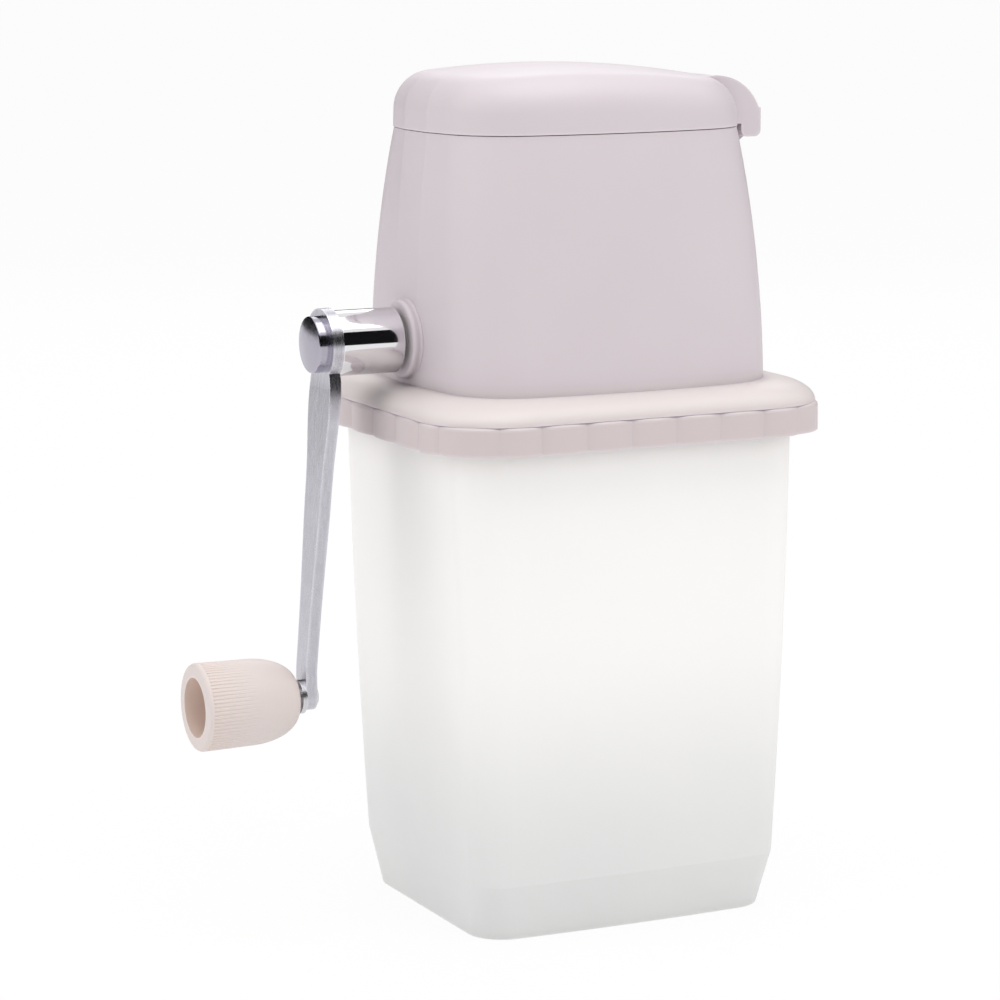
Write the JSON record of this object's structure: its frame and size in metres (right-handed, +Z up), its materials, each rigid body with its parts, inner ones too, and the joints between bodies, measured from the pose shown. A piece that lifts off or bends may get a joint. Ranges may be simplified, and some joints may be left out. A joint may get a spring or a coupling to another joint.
{
  "type": "hand cranked ice crusher",
  "caption": "Countertop ice crusher: tapered hopper with hinged crowned lid, lobed collar, side crank with ribbed knob, clawed rotor inside, tapered translucent cup below.",
  "frame": {"origin": "middle of the cup's flat underside, on the table", "axes": "+Z up; the crank shaft lies along X with the crank on the -X side; the front faces -Y"},
  "size_m": [0.1801, 0.115, 0.2473],
  "materials": {
    "cup_plastic": "translucent natural polypropylene, satin",
    "white_plastic": "white moulded plastic, satin",
    "knob_plastic": "off-white moulded plastic, matt",
    "bush_plastic": "natural acetal",
    "stainless": "stamped stainless steel",
    "zinc_steel": "zinc plated steel",
    "chrome": "polished chrome plate",
    "chrome_satin": "chrome plate over flat bar, slightly dulled"
  },
  "bodies": {
    "cup": {"ice_cup": "cup_plastic"},
    "head": {"hopper_housing": "white_plastic", "breaker_comb_front": "stainless", "breaker_comb_rear": "stainless", "breaker_comb_screws": "zinc_steel", "crank_side_bush": "bush_plastic", "far_side_bush": "bush_plastic"},
    "crank": {"crusher_shaft": "zinc_steel", "ice_blade_1": "stainless", "ice_blade_2": "stainless", "ice_blade_3": "stainless", "ice_blade_4": "stainless", "ice_blade_5": "stainless", "ice_blade_6": "stainless", "blade_spacer_1": "zinc_steel", "blade_spacer_2": "zinc_steel", "blade_spacer_3": "zinc_steel", "blade_spacer_4": "zinc_steel", "blade_spacer_5": "zinc_steel", "end_spacer_crank_side": "zinc_steel", "end_spacer_far_side": "zinc_steel", "hub_sleeve": "chrome", "crank_arm": "chrome_satin", "crank_cap_nut": "chrome", "knob_spindle": "zinc_steel", "knob_washer": "zinc_steel"},
    "knob": {"crank_knob": "knob_plastic"},
    "lid": {"lid": "white_plastic", "lid_hinge_pin": "zinc_steel"}
  },
  "joints": [
    {"name": "head_lift", "type": "slide", "parent": "cup", "child": "head", "axis": [0, 0, 1], "range_m": [0, 0.08]},
    {"name": "crank_turn", "type": "hinge", "parent": "head", "child": "crank", "pos_m": [0, 0, 0.1695], "axis": [-1, 0, 0], "continuous": true},
    {"name": "knob_spin", "type": "hinge", "parent": "crank", "child": "knob", "pos_m": [-0.08503, 0, 0.0679], "axis": [-1, 0, 0], "continuous": true},
    {"name": "lid_hinge", "type": "hinge", "parent": "head", "child": "lid", "pos_m": [0.05065, 0, 0.2283], "axis": [0, 1, 0], "range_deg": [0, 105]}
  ]
}
